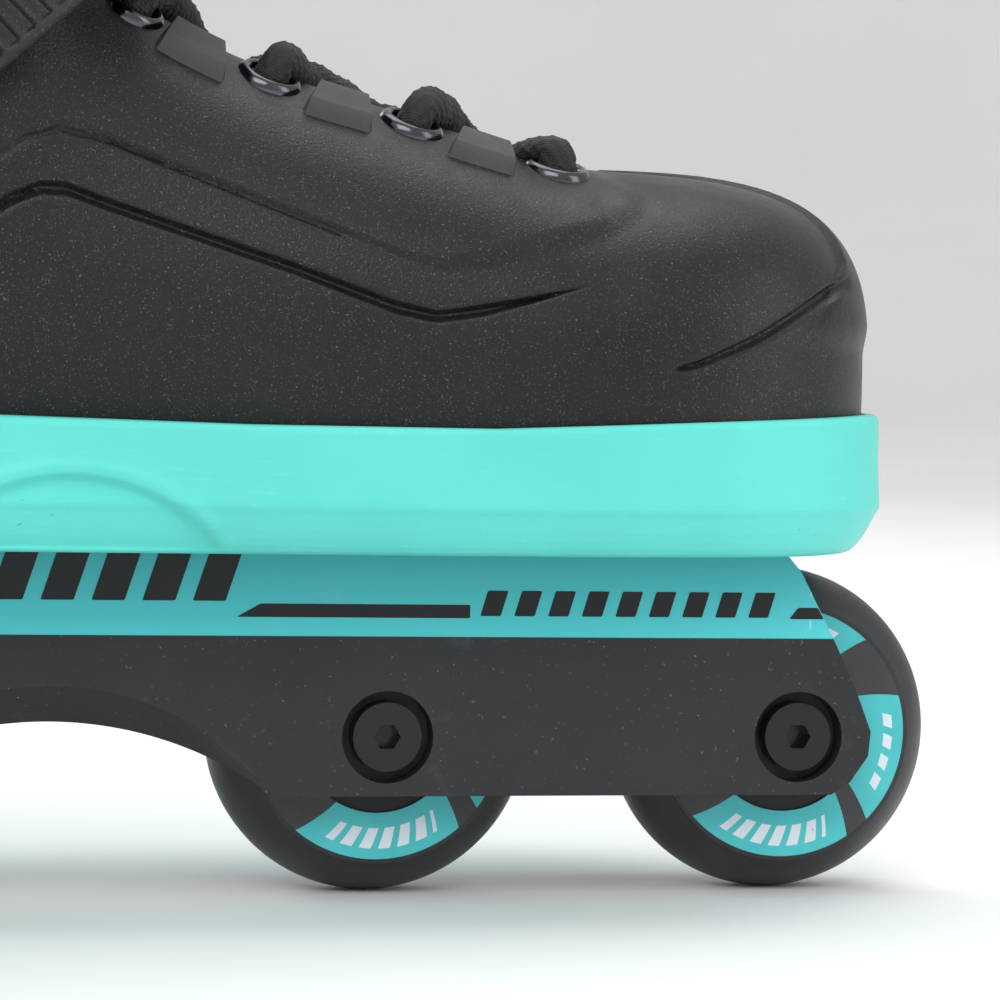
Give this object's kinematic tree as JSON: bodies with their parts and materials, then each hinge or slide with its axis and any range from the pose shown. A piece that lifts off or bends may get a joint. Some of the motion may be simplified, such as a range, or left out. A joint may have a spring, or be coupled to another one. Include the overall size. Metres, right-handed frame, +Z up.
{
  "type": "inline skate",
  "caption": "Inline skate with a hard boot, hinged cuff, soul plate, one-piece frame with a grind arch and four wheels in line.",
  "frame": {"origin": "on the ground, under the middle of the four wheels and in their mid-plane", "axes": "+X towards the toe, +Z up, -Y the outer side of the foot (right skate)"},
  "size_m": [0.321, 0.1132, 0.296],
  "materials": {
    "tyre": "satin urethane with printed sides",
    "core_plastic": "satin",
    "bearing_steel": "polished",
    "steel": "satin",
    "black_metal": "gloss black",
    "frame_plastic": "satin, teal above charcoal",
    "plate_plastic": "turquoise",
    "shell_plastic": "satin black with fine grain",
    "liner_fabric": "padded fabric",
    "foam": "matte foam",
    "lace": "braided",
    "chrome": "polished"
  },
  "bodies": {
    "chassis": {"bearing_inner_rings": "bearing_steel", "bearing_spacers": "steel", "axle_bolts": "black_metal", "axle_nuts": "black_metal", "frame": "frame_plastic", "frame_bolts": "steel", "frame_nuts": "steel", "soul_plate": "plate_plastic", "plate_screws": "steel", "boot_shell": "shell_plastic", "boot_board": "core_plastic", "shock_pad": "foam", "liner_foot": "liner_fabric", "footbed": "foam", "tongue_lower": "liner_fabric", "eyelets": "black_metal", "laces": "lace", "pivot_bolts": "steel", "pivot_washers": "core_plastic", "pivot_nuts": "steel", "instep_strap": "shell_plastic", "instep_pad": "liner_fabric", "instep_buckle_base": "shell_plastic", "instep_buckle_pins": "chrome", "instep_buckle_spring": "chrome", "instep_rivets": "steel", "instep_anchor": "shell_plastic", "instep_screw": "steel"},
    "wheel_1": {"tyre_1": "tyre", "core_1": "core_plastic", "bearing_outer_1": "bearing_steel"},
    "balls_1": {"bearing_balls_1": "bearing_steel"},
    "wheel_2": {"tyre_2": "tyre", "core_2": "core_plastic", "bearing_outer_2": "bearing_steel"},
    "balls_2": {"bearing_balls_2": "bearing_steel"},
    "wheel_3": {"tyre_3": "tyre", "core_3": "core_plastic", "bearing_outer_3": "bearing_steel"},
    "balls_3": {"bearing_balls_3": "bearing_steel"},
    "wheel_4": {"tyre_4": "tyre", "core_4": "core_plastic", "bearing_outer_4": "bearing_steel"},
    "balls_4": {"bearing_balls_4": "bearing_steel"},
    "cuff": {"cuff": "shell_plastic", "liner_cuff": "liner_fabric", "tongue_upper": "liner_fabric", "pivot_bushes": "core_plastic", "cuff_strap": "shell_plastic", "cuff_buckle_base": "shell_plastic", "cuff_buckle_pins": "chrome", "cuff_buckle_spring": "chrome", "cuff_rivets": "steel", "cuff_anchor": "shell_plastic", "cuff_screw": "steel"},
    "instep_lever": {"instep_buckle_lever": "shell_plastic"},
    "instep_catch": {"instep_buckle_catch": "shell_plastic"},
    "cuff_lever": {"cuff_buckle_lever": "shell_plastic"},
    "cuff_catch": {"cuff_buckle_catch": "shell_plastic"}
  },
  "joints": [
    {"name": "wheel_1_spin", "type": "hinge", "parent": "chassis", "child": "wheel_1", "pos_m": [0.1315, 0, 0.029], "axis": [0, 1, 0], "continuous": true},
    {"name": "balls_1_roll", "type": "hinge", "parent": "chassis", "child": "balls_1", "pos_m": [0.1315, 0, 0.029], "axis": [0, 1, 0], "continuous": true},
    {"name": "wheel_2_spin", "type": "hinge", "parent": "chassis", "child": "wheel_2", "pos_m": [0.058, 0, 0.029], "axis": [0, 1, 0], "continuous": true},
    {"name": "balls_2_roll", "type": "hinge", "parent": "chassis", "child": "balls_2", "pos_m": [0.058, 0, 0.029], "axis": [0, 1, 0], "continuous": true},
    {"name": "wheel_3_spin", "type": "hinge", "parent": "chassis", "child": "wheel_3", "pos_m": [-0.058, 0, 0.029], "axis": [0, 1, 0], "continuous": true},
    {"name": "balls_3_roll", "type": "hinge", "parent": "chassis", "child": "balls_3", "pos_m": [-0.058, 0, 0.029], "axis": [0, 1, 0], "continuous": true},
    {"name": "wheel_4_spin", "type": "hinge", "parent": "chassis", "child": "wheel_4", "pos_m": [-0.1315, 0, 0.029], "axis": [0, 1, 0], "continuous": true},
    {"name": "balls_4_roll", "type": "hinge", "parent": "chassis", "child": "balls_4", "pos_m": [-0.1315, 0, 0.029], "axis": [0, 1, 0], "continuous": true},
    {"name": "cuff_flex", "type": "hinge", "parent": "chassis", "child": "cuff", "pos_m": [-0.075, 0, 0.165], "axis": [0, 1, 0], "range_deg": [-3, 14]},
    {"name": "instep_lever_lift", "type": "hinge", "parent": "chassis", "child": "instep_lever", "pos_m": [-0.02998, -0.0481, 0.13893], "axis": [-0.6428, 0, 0.766], "range_deg": [0, 75]},
    {"name": "instep_catch_press", "type": "hinge", "parent": "chassis", "child": "instep_catch", "pos_m": [-0.05296, -0.0472, 0.11964], "axis": [0.6428, 0, -0.766], "range_deg": [0, 12], "stiffness_Nm_per_rad": 0.02},
    {"name": "cuff_lever_lift", "type": "hinge", "parent": "cuff", "child": "cuff_lever", "pos_m": [-0.039, -0.0539, 0.246], "axis": [0, 0, 1], "range_deg": [0, 75]},
    {"name": "cuff_catch_press", "type": "hinge", "parent": "cuff", "child": "cuff_catch", "pos_m": [-0.069, -0.053, 0.246], "axis": [0, 0, -1], "range_deg": [0, 12], "stiffness_Nm_per_rad": 0.02}
  ],
  "couplings": [
    {"joint": "balls_1_roll", "follows": "wheel_1_spin", "ratio": 0.3687},
    {"joint": "balls_2_roll", "follows": "wheel_2_spin", "ratio": 0.3687},
    {"joint": "balls_3_roll", "follows": "wheel_3_spin", "ratio": 0.3687},
    {"joint": "balls_4_roll", "follows": "wheel_4_spin", "ratio": 0.3687}
  ]
}
